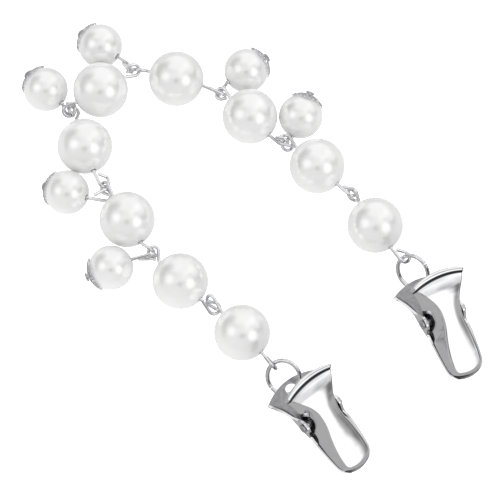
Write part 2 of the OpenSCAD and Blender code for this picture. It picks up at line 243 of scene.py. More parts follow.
def plated_metal(name, body, worn, rough, rough_spread, wave_mm, wave_depth_mm, grain_mm, painted_shade=None):
    """Plated and tumbled metal: the plating levels the surface, handling leaves it slightly uneven
    over waves of this width and depth, and a painted shade colour may darken where the mesh attribute marks
    it."""
    material, tree = new_material(name)
    place = add(tree, "ShaderNodeTexCoord").outputs["Object"]
    blotch = add(tree, "ShaderNodeTexNoise",
                 {"Vector": place, "Scale": per_metre(wave_mm), "Detail": 4.0, "Roughness": 0.6})
    tone = add(tree, "ShaderNodeValToRGB", {"Fac": blotch.outputs["Fac"]})
    tone.color_ramp.elements[0].position = 0.35
    tone.color_ramp.elements[0].color = linear(worn)
    tone.color_ramp.elements[1].position = 0.65
    tone.color_ramp.elements[1].color = linear(body)
    gloss = add(tree, "ShaderNodeMapRange", {
        "Value": blotch.outputs["Fac"], "From Min": 0.3, "From Max": 0.7,
        "To Min": rough + rough_spread, "To Max": rough})
    wave = add(tree, "ShaderNodeTexNoise",
               {"Vector": place, "Scale": per_metre(wave_mm * 1.7), "Detail": 1.0, "Roughness": 0.4})
    grain = add(tree, "ShaderNodeTexNoise",
                {"Vector": place, "Scale": per_metre(grain_mm), "Detail": 3.0, "Roughness": 0.6})
    soft = add(tree, "ShaderNodeBump",
               {"Height": wave.outputs["Fac"], "Strength": 1.0, "Distance": wave_depth_mm * MM})
    fine = add(tree, "ShaderNodeBump",
               {"Height": grain.outputs["Fac"], "Strength": 0.12, "Distance": 0.006 * MM,
                "Normal": soft.outputs["Normal"]})
    colour = tone
    # Painted shade: a dark colour mixed in where the mesh attribute marks the crease under the lip
    if painted_shade:
        where = add(tree, "ShaderNodeAttribute", attribute_name=PAINTED_SHADE)
        colour = add(tree, "ShaderNodeMixRGB", {
            "Fac": where.outputs["Fac"], "Color1": tone.outputs["Color"], "Color2": linear(painted_shade)})
    shader = add(tree, "ShaderNodeBsdfPrincipled", {
        "Base Color": colour.outputs["Color"], "Metallic": 1.0,
        "Roughness": gloss.outputs["Result"], "Normal": fine.outputs["Normal"]})
    finish_material(tree, shader)
    return material


def white_sweep():
    """Matte white paper on a lit table. Lit through from below it stays white to the eye and lights the
    undersides, while mirrored rays see painted shade: a grey glow in place of the white paper."""
    material, tree = new_material("matte white paper")
    place = add(tree, "ShaderNodeTexCoord").outputs["Object"]
    fibre = add(tree, "ShaderNodeTexNoise", {"Vector": place, "Scale": per_metre(2.0), "Detail": 3.0})
    # Painted shade for mirrored rays: a grey glow with a faint fibre grain, standing for the paper shaded
    # round the pieces
    tone = add(tree, "ShaderNodeMixRGB", {
        "Fac": fibre.outputs["Fac"], "Color1": linear("#B4B4B4"), "Color2": linear("#B8B8B8")})
    mirrored_shade = add(tree, "ShaderNodeEmission", {"Color": tone.outputs["Color"], "Strength": 1.0})
    paper = add(tree, "ShaderNodeBsdfDiffuse", {"Color": linear("#FFFFFF"), "Roughness": 0.5})
    glow = add(tree, "ShaderNodeEmission", {"Color": linear("#FFFFFF"), "Strength": 0.85})
    lit_through = add(tree, "ShaderNodeAddShader", {0: paper.outputs[0], 1: glow.outputs[0]})
    mirrored = add(tree, "ShaderNodeLightPath").outputs["Is Glossy Ray"]
    finish_material(tree, add(tree, "ShaderNodeMixShader",
                              {0: mirrored, 1: lit_through.outputs[0], 2: mirrored_shade.outputs[0]}))
    return material


PEARL = pearl_lacquer()
# Rhodium-plated brass wire: drawn, bent and barrel plated, bright with a soft blur
WIRE = plated_metal("rhodium-plated brass wire", "#F4F4F5", "#E0E0E2", 0.03, 0.03, 0.9, 0.002, 0.12)
# Plated brass filigree: stamped and cast detail, its skin duller in random patches
FILIGREE = plated_metal("plated brass filigree", "#F4F4F5", "#D2D2D6", 0.16, 0.1, 0.5, 0.006, 0.1)
# Nickel-plated pressed steel: mirror polished, with the slight unevenness of the pressing
# The dark colour given last is painted shade in the crease under the lip
CLIP = plated_metal("nickel-plated pressed steel", "#EDEDEE", "#E6E6E8", 0.05, 0.035, 2.6, 0.0012, 0.15,
                    painted_shade="#2E2E30")
# The inside of the pressing, plated with the rest but left unpolished; its darker colour is painted shade
# between the halves
SHADED_CLIP_INSIDE = plated_metal("unpolished and shaded nickel plate", "#A4A4A5", "#929294", 0.26, 0.1, 0.6, 0.004, 0.12)
# Nickel-plated rivet: turned end, a little duller than the sheet
RIVET = plated_metal("nickel-plated rivet", "#D6D6D9", "#ABABAF", 0.14, 0.1, 0.5, 0.005, 0.1)
# Drawn spring steel: plated wire with a grey satin skin
SPRING = plated_metal("plated spring steel", "#B9B9BC", "#8C8C90", 0.2, 0.12, 0.5, 0.004, 0.1)
PAPER = white_sweep()


# Geometry Nodes trees: bent wire, turned bead, and filigree cap

def new_tree(name, inputs):
    """A geometry tree with named inputs. Returns the tree, its input node and the inputs' identifiers."""
    tree = bpy.data.node_groups.new(name, "GeometryNodeTree")
    tree.is_modifier = True
    tree.interface.new_socket("Geometry", in_out="INPUT", socket_type="NodeSocketGeometry")
    keys = {}
    for label, kind in inputs.items():
        keys[label] = tree.interface.new_socket(label, in_out="INPUT", socket_type=kind).identifier
    tree.interface.new_socket("Geometry", in_out="OUTPUT", socket_type="NodeSocketGeometry")
    return tree, add(tree, "NodeGroupInput").outputs, keys


def close_tree(tree, geometry, material):
    """Ends a geometry tree: smooth faces, real geometry, and the material set on it."""
    smooth = add(tree, "GeometryNodeSetShadeSmooth", {"Geometry": geometry})
    real = add(tree, "GeometryNodeRealizeInstances", {"Geometry": smooth.outputs[0]})
    dressed = add(tree, "GeometryNodeSetMaterial", {"Geometry": real.outputs[0], "Material": material})
    add(tree, "NodeGroupOutput", {"Geometry": dressed.outputs[0]})


def bent_wire_tree():
    """Round wire of one diameter along every edge path of the piece."""
    tree, given, keys = new_tree("bent wire", {
        "Diameter": "NodeSocketFloat", "Sides": "NodeSocketInt", "Material": "NodeSocketMaterial"})
    radius = add(tree, "ShaderNodeMath", {0: given["Diameter"], 1: 0.5}, operation="MULTIPLY")
    path = add(tree, "GeometryNodeMeshToCurve", {"Mesh": given["Geometry"]})
    round_profile = add(tree, "GeometryNodeCurvePrimitiveCircle",
                        {"Resolution": given["Sides"], "Radius": radius.outputs[0]})
    swept = add(tree, "GeometryNodeCurveToMesh", {
        "Curve": path.outputs[0], "Profile Curve": round_profile.outputs[0], "Fill Caps": True})
    close_tree(tree, swept.outputs[0], given["Material"])
    return tree, keys


# Points of a bead round its hole, along its meridian, and in the rounding of the hole's rim
BEAD_AROUND, BEAD_ALONG, RIM_CUTS = 96, 64, 4


def drilled_bead_tree():
    """A bead turned about its drilled hole: a meridian from rim to rim, closed along the hole."""
    tree, given, keys = new_tree("drilled bead", {
        "Diameter": "NodeSocketFloat", "Hole": "NodeSocketFloat", "Around": "NodeSocketInt",
        "Along": "NodeSocketInt", "Hole rounding": "NodeSocketFloat", "Material": "NodeSocketMaterial"})
    ball_r = add(tree, "ShaderNodeMath", {0: given["Diameter"], 1: 0.5}, operation="MULTIPLY")
    hole_r = add(tree, "ShaderNodeMath", {0: given["Hole"], 1: 0.5}, operation="MULTIPLY")
    share = add(tree, "ShaderNodeMath", {0: hole_r.outputs[0], 1: ball_r.outputs[0]}, operation="DIVIDE")
    rim = add(tree, "ShaderNodeMath", {0: share.outputs[0]}, operation="ARCSINE")
    start = add(tree, "ShaderNodeMath", {0: rim.outputs[0], 1: math.pi / 2}, operation="SUBTRACT")
    twice = add(tree, "ShaderNodeMath", {0: rim.outputs[0], 1: 2.0}, operation="MULTIPLY")
    sweep = add(tree, "ShaderNodeMath", {0: math.pi, 1: twice.outputs[0]}, operation="SUBTRACT")
    meridian = add(tree, "GeometryNodeCurveArc", {
        "Resolution": given["Along"], "Radius": ball_r.outputs[0],
        "Start Angle": start.outputs[0], "Sweep Angle": sweep.outputs[0]}, mode="RADIUS")
    closed = add(tree, "GeometryNodeSetSplineCyclic", {"Geometry": meridian.outputs[0], "Cyclic": True})
    # Only the two rims of the hole are rounded, at the first and the last point of the meridian
    index = add(tree, "GeometryNodeInputIndex")
    final = add(tree, "ShaderNodeMath", {0: given["Along"], 1: 1.0}, operation="SUBTRACT")
    at_first = add(tree, "ShaderNodeMath", {0: index.outputs[0], 1: 0.0, 2: 0.5}, operation="COMPARE")
    at_last = add(tree, "ShaderNodeMath", {0: index.outputs[0], 1: final.outputs[0], 2: 0.5},
                  operation="COMPARE")
    at_rim = add(tree, "ShaderNodeMath", {0: at_first.outputs[0], 1: at_last.outputs[0]}, operation="ADD")
    cuts = add(tree, "ShaderNodeMath", {0: at_rim.outputs[0], 1: RIM_CUTS}, operation="MULTIPLY")
    rounded = add(tree, "GeometryNodeFilletCurve", {
        "Curve": closed.outputs[0], "Radius": given["Hole rounding"], "Limit Radius": True,
        "Count": cuts.outputs[0]}, mode="POLY")
    inward = add(tree, "ShaderNodeMath", {0: hole_r.outputs[0], 1: -1.0}, operation="MULTIPLY")
    offset = add(tree, "ShaderNodeCombineXYZ", {"X": inward.outputs[0]})
    set_in = add(tree, "GeometryNodeTransform", {
        "Geometry": rounded.outputs[0], "Translation": offset.outputs[0]})
    about = add(tree, "GeometryNodeCurvePrimitiveCircle",
                {"Resolution": given["Around"], "Radius": hole_r.outputs[0]})
    turned = add(tree, "GeometryNodeCurveToMesh",
                 {"Curve": about.outputs[0], "Profile Curve": set_in.outputs[0], "Fill Caps": False})
    close_tree(tree, turned.outputs[0], given["Material"])
    return tree, keys


def filigree_cap_tree():
    """Filigree cap: one petal's wires repeated about the pole, and a ring round the pin."""
    tree, given, keys = new_tree("filigree cap", {
        "Petals": "NodeSocketInt", "Wire": "NodeSocketFloat", "Sides": "NodeSocketInt",
        "Collar": "NodeSocketFloat", "Collar height": "NodeSocketFloat", "Material": "NodeSocketMaterial"})
    radius = add(tree, "ShaderNodeMath", {0: given["Wire"], 1: 0.5}, operation="MULTIPLY")
    strand = add(tree, "GeometryNodeCurvePrimitiveCircle",
                 {"Resolution": given["Sides"], "Radius": radius.outputs[0]})
    path = add(tree, "GeometryNodeMeshToCurve", {"Mesh": given["Geometry"]})
    petal = add(tree, "GeometryNodeCurveToMesh", {
        "Curve": path.outputs[0], "Profile Curve": strand.outputs[0], "Fill Caps": True})
    stations = add(tree, "GeometryNodeMeshLine", {
        "Count": given["Petals"], "Start Location": (0, 0, 0), "Offset": (0, 0, 0)}, mode="OFFSET")
    index = add(tree, "GeometryNodeInputIndex")
    step = add(tree, "ShaderNodeMath", {0: 2 * math.pi, 1: given["Petals"]}, operation="DIVIDE")
    angle = add(tree, "ShaderNodeMath", {0: index.outputs[0], 1: step.outputs[0]}, operation="MULTIPLY")
    turn = add(tree, "ShaderNodeCombineXYZ", {"Z": angle.outputs[0]})
    round_pole = add(tree, "GeometryNodeInstanceOnPoints", {
        "Points": stations.outputs[0], "Instance": petal.outputs[0], "Rotation": turn.outputs[0]})
    collar_path = add(tree, "GeometryNodeCurvePrimitiveCircle", {"Resolution": 48, "Radius": given["Collar"]})
    collar_at = add(tree, "ShaderNodeCombineXYZ", {"Z": given["Collar height"]})
    collar_set = add(tree, "GeometryNodeTransform",
                     {"Geometry": collar_path.outputs[0], "Translation": collar_at.outputs[0]})
    collar = add(tree, "GeometryNodeCurveToMesh", {
        "Curve": collar_set.outputs[0], "Profile Curve": strand.outputs[0], "Fill Caps": False})
    both = add(tree, "GeometryNodeJoinGeometry")
    for part in (round_pole, collar):
        tree.links.new(part.outputs[0], both.inputs[0])
    close_tree(tree, both.outputs[0], given["Material"])
    return tree, keys


BENT_WIRE = bent_wire_tree()
DRILLED_BEAD = drilled_bead_tree()
FILIGREE_CAP = filigree_cap_tree()


# Vertices closer than this are one
SAME_PLACE = 0.0005


def new_object(name, vertices=(), edges=(), faces=()):
    """An object in the scene with a mesh of these vertices, edges and faces, in metres."""
    mesh = bpy.data.meshes.new(name)
    mesh.from_pydata([tuple(v) for v in vertices], list(edges), list(faces))
    piece = bpy.data.objects.new(name, mesh)
    bpy.context.scene.collection.objects.link(piece)
    return piece


def settle(piece):
    """Turns what the modifiers show into the piece's own plain mesh."""
    graph = bpy.context.evaluated_depsgraph_get()
    mesh = bpy.data.meshes.new_from_object(piece.evaluated_get(graph))
    old = piece.data
    piece.modifiers.clear()
    piece.data = mesh
    mesh.name = piece.name
    bpy.data.meshes.remove(old)
    return piece


def grow(piece, tree_and_keys, values):
    """Runs a geometry tree on the piece with these inputs, and keeps the result as a plain mesh."""
    tree, keys = tree_and_keys
    modifier = piece.modifiers.new("shape", "NODES")
    modifier.node_group = tree
    for label, value in values.items():
        modifier[keys[label]] = value
    return settle(piece)


def faces_outward(piece):
    """Closes the seams and poles of a piece and turns its faces outwards."""
    work = bmesh.new()
    work.from_mesh(piece.data)
    bmesh.ops.remove_doubles(work, verts=work.verts, dist=SAME_PLACE * MM)
    bmesh.ops.recalc_face_normals(work, faces=work.faces)
    work.to_mesh(piece.data)
    work.free()
    return piece


# Routes of the wires

def heading(turn, rise):
    """The direction at this turn about Z and this rise above the level, in degrees."""
    t, r = math.radians(turn), math.radians(rise)
    return Vector((math.cos(r) * math.cos(t), math.cos(r) * math.sin(t), math.sin(r)))


def loop_side(turn, rise, roll):
    """The direction across a loop that heads this way and is rolled about its heading."""
    level = Vector((-math.sin(math.radians(turn)), math.cos(math.radians(turn)), 0))
    a = math.radians(roll)
    return level * math.cos(a) + heading(turn, rise).cross(level) * math.sin(a)


# Points of a loop's arc and of the bend before it, and how far the bend reaches from the root
LOOP_STEPS = 40
BEND_STEPS = 6
BEND_REACH = 0.24
PIN_SIDES, RING_SIDES, SPRING_SIDES, CAP_WIRE_SIDES = 16, 20, 14, 8


def teardrop(root, pin_way, turn, rise, roll, reach):
    """Teardrop loop from its root: a soft bend out of the pin, round the arc, back to the cut end."""
    along, across = heading(turn, rise), loop_side(turn, rise, roll)
    middle = reach - LOOP_R - WIRE_D / 2
    half = math.asin(LOOP_R / middle)
    leg = math.sqrt(middle * middle - LOOP_R * LOOP_R)
    short = (WIRE_D + GAP) / (2 * math.sin(half))
    sweep = math.pi + 2 * half
    arc = []
    for i in range(LOOP_STEPS + 1):
        a = -sweep / 2 + sweep * i / LOOP_STEPS
        arc.append(root + along * (middle + LOOP_R * math.cos(a)) + across * LOOP_R * math.sin(a))
    leg_way = (arc[0] - root).normalized()
    bend = []
    for i in range(BEND_STEPS + 1):
        t = i / BEND_STEPS
        before, after = root - pin_way * BEND_REACH, root + leg_way * BEND_REACH
        bend.append(before * (1 - t) ** 2 + root * 2 * t * (1 - t) + after * t ** 2)
    end = root + (along * leg * math.cos(half) + across * leg * math.sin(half)) * short / leg
    return bend + arc + [end]


def wire_piece(name, path, diameter, sides, material, place=None):
    """A wire along a path given in millimetres; place is a matrix in millimetres."""
    points = [(place @ p if place else p + CENTRE_SHIFT) * MM for p in path]
    piece = new_object(name, points, [(i, i + 1) for i in range(len(points) - 1)])
    return grow(piece, BENT_WIRE, {"Diameter": diameter * MM, "Sides": sides, "Material": material})


def place_on_body(piece, body, node):
    """Attaches the piece to the body it moves with, and hides the CAD node it stands for."""
    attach(piece, body)
    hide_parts(node)


# Pearls on their pins

def pearl_place(middle, turn, rise):
    """Matrix in metres that sets a bead's hole, drawn along Z, on its pin."""
    turned = Matrix.Rotation(math.radians(turn), 4, "Z") @ Matrix.Rotation(math.radians(90 - rise), 4, "Y")
    return Matrix.Translation((Vector(middle) + CENTRE_SHIFT) * MM) @ turned


def pearl_piece(name, diameter, middle, turn, rise):
    """A drilled bead, closed, in its place."""
    piece = new_object(name, [(0, 0, 0)])
    grow(piece, DRILLED_BEAD, {
        "Diameter": diameter * MM, "Hole": DRILL_D * MM, "Around": BEAD_AROUND, "Along": BEAD_ALONG,
        "Hole rounding": HOLE_ROUNDING * MM, "Material": PEARL})
    piece.data.transform(pearl_place(middle, turn, rise))
    return faces_outward(piece)


for i, (x, y, turn, rise) in enumerate(PEARLS):
    middle = Vector((x, y, PEARL_D / 2))
    pearl = pearl_piece(f"large_pearl_{i + 1}", PEARL_D, middle, turn, rise)
    place_on_body(pearl, "root", f"pearl_{i + 1}")
    way = heading(turn, rise)
    out = way * (PEARL_D / 2 + STEM)
    back = teardrop(middle - out, -way, *BACK_LOOPS[i])
    front = teardrop(middle + out, way, *FRONT_LOOPS[i])
    pin = wire_piece(f"looped_eye_pin_{i + 1}", back[::-1] + front, WIRE_D, PIN_SIDES, WIRE)
    place_on_body(pin, "root", f"eye_pin_{i + 1}")


# Small drops: pearl, headed pin and filigree cap

CAP_MIDDLE_R = DROP_D / 2 + GAP + CAP_T / 2
# Strands of a petal, in degrees from the pole and about it. Outer strand: foot, length and half spread,
# and how much of that spread its foot keeps; eye: middle and half sizes; scroll: foot, length and bow;
# scallop: height, rise, first place and width
PETAL_FOOT, PETAL_LENGTH, PETAL_SPREAD, FOOT_SHARE, PETAL_SWELL = 13, 32, 27, 0.42, 1.4
EYE_MIDDLE, EYE_LENGTH, EYE_WIDTH = 35, 5.2, 8.6
SCROLL_FOOT, SCROLL_LENGTH, SCROLL_BOW = 15, 15, 3.5
SCALLOP_HEIGHT, SCALLOP_RISE, SCALLOP_FROM, SCALLOP_WIDTH = 33, 9, 19, 22
COLLAR_ANGLE = 12
# Points of these strands
OUTLINE_STEPS, EYE_STEPS, SCROLL_STEPS, SCALLOP_STEPS = 48, 24, 12, 16


def on_cap(from_pole, about):
    """A point of the cap's middle sphere, in metres, at these angles in degrees from and about the pole."""
    a, b = math.radians(from_pole), math.radians(about)
    return Vector((math.sin(a) * math.cos(b), math.sin(a) * math.sin(b), math.cos(a))) * CAP_MIDDLE_R * MM


def closed_path(points, start):
    """The points, and the edges that join them round, counted from this vertex."""
    n = len(points)
    return points, [(start + i, start + (i + 1) % n) for i in range(n)]


def open_path(points, start):
    """The points, and the edges that join them in a row, counted from this vertex."""
    return points, [(start + i, start + i + 1) for i in range(len(points) - 1)]


def petal_wires():
    """One petal: a heart-shaped outer strand, a round eye inside it, and a scallop to the next petal."""
    vertices, edges = [], []

    def lay(maker, points):
        p, e = maker(points, len(vertices))
        vertices.extend(p)
        edges.extend(e)

    outline = []
    for k in range(OUTLINE_STEPS):
        t = 2 * math.pi * k / OUTLINE_STEPS
        swell = math.sin(t / 2) ** PETAL_SWELL
        outline.append(on_cap(PETAL_FOOT + PETAL_LENGTH * (1 - math.cos(t)) / 2,
                              PETAL_SPREAD * math.sin(t) * (FOOT_SHARE + (1 - FOOT_SHARE) * swell)))
    lay(closed_path, outline)
    eye_turns = [2 * math.pi * k / EYE_STEPS for k in range(EYE_STEPS)]
    lay(closed_path, [on_cap(EYE_MIDDLE + EYE_LENGTH * math.cos(t), EYE_WIDTH * math.sin(t))
                      for t in eye_turns])
    lay(open_path, [on_cap(SCROLL_FOOT + SCROLL_LENGTH * k / SCROLL_STEPS,
                           SCROLL_BOW * math.sin(math.pi * k / SCROLL_STEPS))
                    for k in range(SCROLL_STEPS + 1)])
    lay(open_path, [on_cap(SCALLOP_HEIGHT + SCALLOP_RISE * math.sin(math.pi * k / SCALLOP_STEPS),
                           SCALLOP_FROM + SCALLOP_WIDTH * k / SCALLOP_STEPS)
                    for k in range(SCALLOP_STEPS + 1)])
    return vertices, edges


PETAL = petal_wires()


def turned_shape(name, profile, steps, place, material):
    """A shape turned about Z from (radius, height) pairs in millimetres that start and end on the axis."""
    rings = profile[1:-1]
    vertices = [Vector((0, 0, profile[0][1]))]
    for r, z in rings:
        vertices += [Vector((r * math.cos(2 * math.pi * k / steps), r * math.sin(2 * math.pi * k / steps), z))
                     for k in range(steps)]
    vertices.append(Vector((0, 0, profile[-1][1])))
    last = len(vertices) - 1
    faces = []
    for k in range(steps):
        n = (k + 1) % steps
        faces.append((0, 1 + n, 1 + k))
        for j in range(len(rings) - 1):
            a, b = 1 + j * steps, 1 + (j + 1) * steps
            faces.append((a + k, a + n, b + n, b + k))
        faces.append((last, last - steps + k, last - steps + n))
    piece = new_object(name, [place @ (v * MM) for v in vertices], (), faces)
    piece.data.materials.append(material)
    return faces_outward(piece)


def rounded(points, radius, steps=3):
    """Rounds the inner corners of a turned profile."""
    done = [points[0]]
    for before, corner, after in zip(points, points[1:], points[2:]):
        b, c, a = Vector(before), Vector(corner), Vector(after)
        reach = min(radius, (b - c).length * 0.45, (a - c).length * 0.45)
        start, end = c + (b - c).normalized() * reach, c + (a - c).normalized() * reach
        for k in range(steps + 1):
            t = k / steps
            done.append(tuple(start * (1 - t) ** 2 + c * 2 * t * (1 - t) + end * t ** 2))
    return done + [points[-1]]


def smooth_by_angle(piece, degrees):
    """Smooth shading, but for the edges that bend by more than this."""
    for polygon in piece.data.polygons:
        polygon.use_smooth = True
    piece.data.set_sharp_from_angle(angle=math.radians(degrees))
    return piece


def join(name, pieces):
    """One piece from several finished meshes that share a material."""
    work = bmesh.new()
    for piece in pieces:
        work.from_mesh(piece.data)
    mesh = bpy.data.meshes.new(name)
    work.to_mesh(mesh)
    work.free()
    mesh.materials.append(pieces[0].data.materials[0])
    for polygon in mesh.polygons:
        polygon.material_index = 0
    joined = bpy.data.objects.new(name, mesh)
    bpy.context.scene.collection.objects.link(joined)
    for piece in pieces:
        bpy.data.objects.remove(piece)
    return joined


# Heights above the middle of a small pearl: the head's underside, its edge, its shoulder and its top
TAIL = DROP_D / 2 + GAP + CAP_T + GAP
HEAD_EDGE, HEAD_SHOULDER, HEAD_TOP = TAIL + 0.12, TAIL + 0.29, TAIL + HEAD_T
HEAD_STEPS = 40
for letter, (x, y, turn, rise, *loop) in DROPS.items():
    middle = Vector((x, y, DROP_D / 2))
    pearl = pearl_piece(f"small_pearl_{letter}", DROP_D, middle, turn, rise)
    place_on_body(pearl, "root", f"drop_pearl_{letter}")
    way = heading(turn, rise)
    loop_path = teardrop(middle + way * (DROP_D / 2 + STEM), way, *loop)
    strand = wire_piece("strand", [middle - way * (TAIL + HEAD_T / 2)] + loop_path,
                        WIRE_D, PIN_SIDES, WIRE)
    # The head lies on the far side of the cap, domed by the heading die
    far_side = pearl_place(middle, turn, rise) @ Matrix.Rotation(math.pi, 4, "X")
    head = turned_shape("head", rounded([
        (0, TAIL), (HEAD_D / 2, TAIL), (HEAD_D / 2, HEAD_EDGE), (HEAD_D * 0.36, HEAD_SHOULDER),
        (HEAD_D * 0.15, HEAD_TOP), (0, HEAD_TOP)], 0.08), HEAD_STEPS, far_side, WIRE)
    smooth_by_angle(head, 40)
    pin = join(f"headed_drop_pin_{letter}", [strand, head])
    place_on_body(pin, "root", f"drop_pin_{letter}")
    cap = new_object(f"filigree_cap_{letter}", *PETAL)
    collar_r = CAP_MIDDLE_R * math.sin(math.radians(COLLAR_ANGLE))
    collar_z = CAP_MIDDLE_R * math.cos(math.radians(COLLAR_ANGLE))
    grow(cap, FILIGREE_CAP, {
        "Petals": PETALS, "Wire": CAP_WIRE_D * MM, "Sides": CAP_WIRE_SIDES, "Collar": collar_r * MM,
        "Collar height": collar_z * MM, "Material": FILIGREE})
    cap.data.transform(far_side)
    place_on_body(cap, "root", f"bead_cap_{letter}")


# Jump rings: round wire closed on a hairline cut

RING_STEPS = 120
for side, (middle, tilt, turn, cut_at) in RINGS.items():
    r = (RING_D - RING_WIRE_D) / 2
    cut = RING_CUT / r
    place = (Matrix.Translation(Vector(middle) + CENTRE_SHIFT)
             @ Matrix.Rotation(math.radians(turn), 4, "Z") @ Matrix.Rotation(math.radians(tilt), 4, "X"))
    path = []
    for k in range(RING_STEPS + 1):
        a = math.radians(cut_at) + cut / 2 + (2 * math.pi - cut) * k / RING_STEPS
        path.append(Vector((r * math.cos(a), r * math.sin(a), 0)))
    ring = wire_piece(f"jump_ring_{side}", path, RING_WIRE_D, RING_SIDES, WIRE, place)
    place_on_body(ring, "root", f"ring_{side}")


# Clips

def clip_place(side):
    """Matrix in millimetres from a clip's own axes, about its hinge, to its place."""
    middle, roll, pitch, turn = CLIPS[side]
    return (Matrix.Translation(Vector(middle) + CENTRE_SHIFT)
            @ Matrix.Rotation(math.radians(turn), 4, "Z") @ Matrix.Rotation(math.radians(pitch), 4, "Y")
            @ Matrix.Rotation(math.radians(roll), 4, "X"))


def between(rows, x):
    """A section at any x: the rows' values on a smooth curve that keeps their steps."""
    i = max(k for k in range(len(rows) - 1) if rows[k][0] <= x or k == 0)
    i = min(i, len(rows) - 2)
    x0, x1 = rows[i][0], rows[i + 1][0]
    t = (x - x0) / (x1 - x0)
    values = [x]
    for c in range(1, 7):
        def slope(k):
            if k == 0 or k == len(rows) - 1:
                a, b = (k, k + 1) if k == 0 else (k - 1, k)
                return (rows[b][c] - rows[a][c]) / (rows[b][0] - rows[a][0])
            before = (rows[k][c] - rows[k - 1][c]) / (rows[k][0] - rows[k - 1][0])
            after = (rows[k + 1][c] - rows[k][c]) / (rows[k + 1][0] - rows[k][0])
            return 0.0 if before * after <= 0 else 2 * before * after / (before + after)
        p0, p1, m0, m1 = rows[i][c], rows[i + 1][c], slope(i) * (x1 - x0), slope(i + 1) * (x1 - x0)
        values.append((2 * t ** 3 - 3 * t ** 2 + 1) * p0 + (t ** 3 - 2 * t ** 2 + t) * m0
                      + (3 * t ** 2 - 2 * t ** 3) * p1 + (t ** 3 - t ** 2) * m1)
    return values


# Points of a section on a flank, on a crease and across the face, and the step between sections
FLANK_POINTS = 6
CREASE_POINTS = 8
FACE_POINTS = 20
SECTION_STEP = 0.14


def section(values, inset):
    """Half a section, from the rim round the crease to the middle of the face, and its mirror."""
    x, face_z, face_half, rim_z, rim_half, crown, bow = values
    rim = Vector((rim_half - inset, rim_z))
    corner = Vector((face_half - inset, face_z - inset))
    reach = min(CREASE, (rim - corner).length * CREASE_SHARE)
    start = corner + (rim - corner).normalized() * reach
    end = corner + Vector((-reach, 0))
    half = [rim + (start - rim) * k / FLANK_POINTS for k in range(FLANK_POINTS)]
    for k in range(CREASE_POINTS):
        t = k / CREASE_POINTS
        half.append(start * (1 - t) ** 2 + corner * 2 * t * (1 - t) + end * t ** 2)
    for k in range(FACE_POINTS // 2 + 1):
        y = end.x * (1 - k / (FACE_POINTS // 2))
        half.append(Vector((y, corner.y + crown * (1 - y * y / (end.x * end.x)))))
    outline = half + [Vector((-p.x, p.y)) for p in reversed(half[:-1])]
    return [Vector((x - bow * (1 - p.x * p.x / (rim_half * rim_half)), p.x, p.y)) for p in outline]


def half_shell(name, rows, groove, flip, place):
    """A pressed clip half: outer and inner skins over the same sections, closed at rims and ends, with
    painted shade in the groove under its lip, between two places along it."""
    xs = []
    for a, b in zip(rows, rows[1:]):
        n = max(2, round((b[0] - a[0]) / SECTION_STEP))
        xs += [a[0] + (b[0] - a[0]) * k / n for k in range(n)]
    xs.append(rows[-1][0])
    skins = [[Vector((p.x, p.y, p.z * flip)) for p in section(between(rows, x), inset)]
             for inset in (0.0, SHEET) for x in xs]
    n, m = len(xs), len(skins[0])
    vertices = [place @ p * MM for row in skins for p in row]
    faces = []
    back = n * m
    for i in range(n - 1):
        for j in range(m - 1):
            a = i * m + j
            faces.append((a, a + m, a + m + 1, a + 1))
            faces.append((back + a, back + a + 1, back + a + m + 1, back + a + m))
        for j in (0, m - 1):
            a = i * m + j
            faces.append((a, back + a, back + a + m, a + m))
    for i in (0, n - 1):
        for j in range(m - 1):
            a = i * m + j
            faces.append((a, a + 1, back + a + 1, back + a))
    piece = new_object(name, vertices, (), faces)
    # Inner skin faces take the inside material: rougher as unpolished, and darker as painted shade
    piece.data.polygons.foreach_set("material_index", [int(min(face) >= back) for face in faces])
    # Painted shade: marks the outer skin's groove under the lip for the dark colour
    painted_shade = piece.data.attributes.new(PAINTED_SHADE, "FLOAT", "POINT")
    low, high = groove
    painted_shade.data.foreach_set("value", [float(low < x < high) for x in xs for _ in range(m)] + [0.0] * back)
    return faces_outward(piece)


DRILL_SIDES = 48


def cutter(diameter, length, matrix):
    """A drill for the hinge or ring hole, made as a closed round bar, in metres."""
    work = bmesh.new()
    bmesh.ops.create_cone(work, cap_ends=True, segments=DRILL_SIDES, radius1=diameter / 2 * MM,
                          radius2=diameter / 2 * MM, depth=length * MM)
    mesh = bpy.data.meshes.new("cutter")
    work.to_mesh(mesh)
    work.free()
    metres = matrix.copy()
    metres.translation *= MM
    mesh.transform(metres)
    drill = bpy.data.objects.new("cutter", mesh)
    bpy.context.scene.collection.objects.link(drill)
    return drill


# Edges that bend by more than this are sheared ones, in degrees, and faces shade smooth up to the other
SHEARED_ANGLE, SMOOTH_ANGLE = 50, 42


def press(piece, cutters):
    """Rounds the sheared edges, drills the holes, and settles the mesh."""
    piece.data.materials.append(CLIP)
    piece.data.materials.append(SHADED_CLIP_INSIDE)
    bevel = piece.modifiers.new("sheared edge", "BEVEL")
    bevel.width = EDGE_ROUND * MM
    bevel.segments = 3
    bevel.limit_method = "ANGLE"
    bevel.angle_limit = math.radians(SHEARED_ANGLE)
    for drill in cutters:
        cut = piece.modifiers.new("hole", "BOOLEAN")
        cut.operation = "DIFFERENCE"
        cut.solver = "EXACT"
        cut.object = drill
    settle(piece)
    for drill in cutters:
        bpy.data.objects.remove(drill)
    return smooth_by_angle(piece, SMOOTH_ANGLE)


COIL_STEPS = 36


